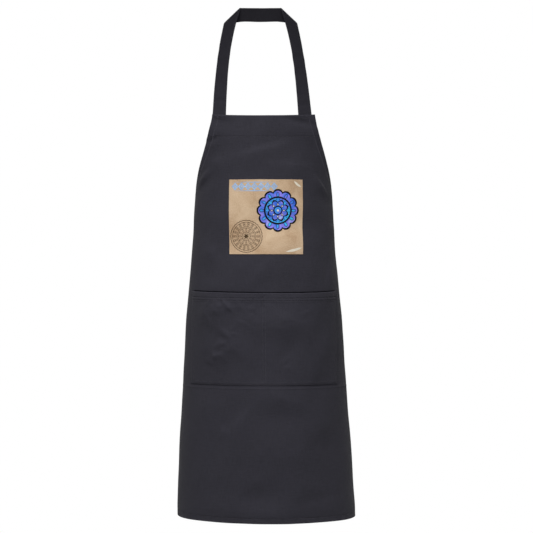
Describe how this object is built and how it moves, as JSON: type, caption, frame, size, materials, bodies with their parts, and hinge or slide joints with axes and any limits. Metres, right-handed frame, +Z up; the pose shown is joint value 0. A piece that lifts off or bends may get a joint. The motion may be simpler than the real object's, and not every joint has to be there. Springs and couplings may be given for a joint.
{
  "type": "bib apron",
  "caption": "Long bib apron with a folded neck strap, a wide two-part pocket, turned hems, a printed square and waist ties.",
  "frame": {"origin": "middle of the neck strap's lower edge, where it lies on the nape", "axes": "+Z up, -Y the way the wearer faces, +X to the right of someone who looks at the front"},
  "size_m": [0.408, 0.2409, 1.1636],
  "materials": {
    "charcoal_twill": "matt cotton twill",
    "charcoal_tape": "matt folded cotton twill tape",
    "print_film": "satin transfer print on twill"
  },
  "bodies": {
    "root": {"apron_panel": "charcoal_twill", "bib_facing": "charcoal_twill", "armhole_hem_left": "charcoal_twill", "armhole_hem_right": "charcoal_twill", "side_hem_left": "charcoal_twill", "side_hem_right": "charcoal_twill", "bottom_hem": "charcoal_twill", "pocket": "charcoal_twill", "chest_print": "print_film", "neck_strap": "charcoal_tape", "waist_tie_left": "charcoal_tape", "waist_tie_right": "charcoal_tape", "bow_loop_left": "charcoal_tape", "bow_loop_right": "charcoal_tape", "tie_end_left": "charcoal_tape", "tie_end_right": "charcoal_tape", "tie_knot": "charcoal_tape"}
  },
  "joints": []
}
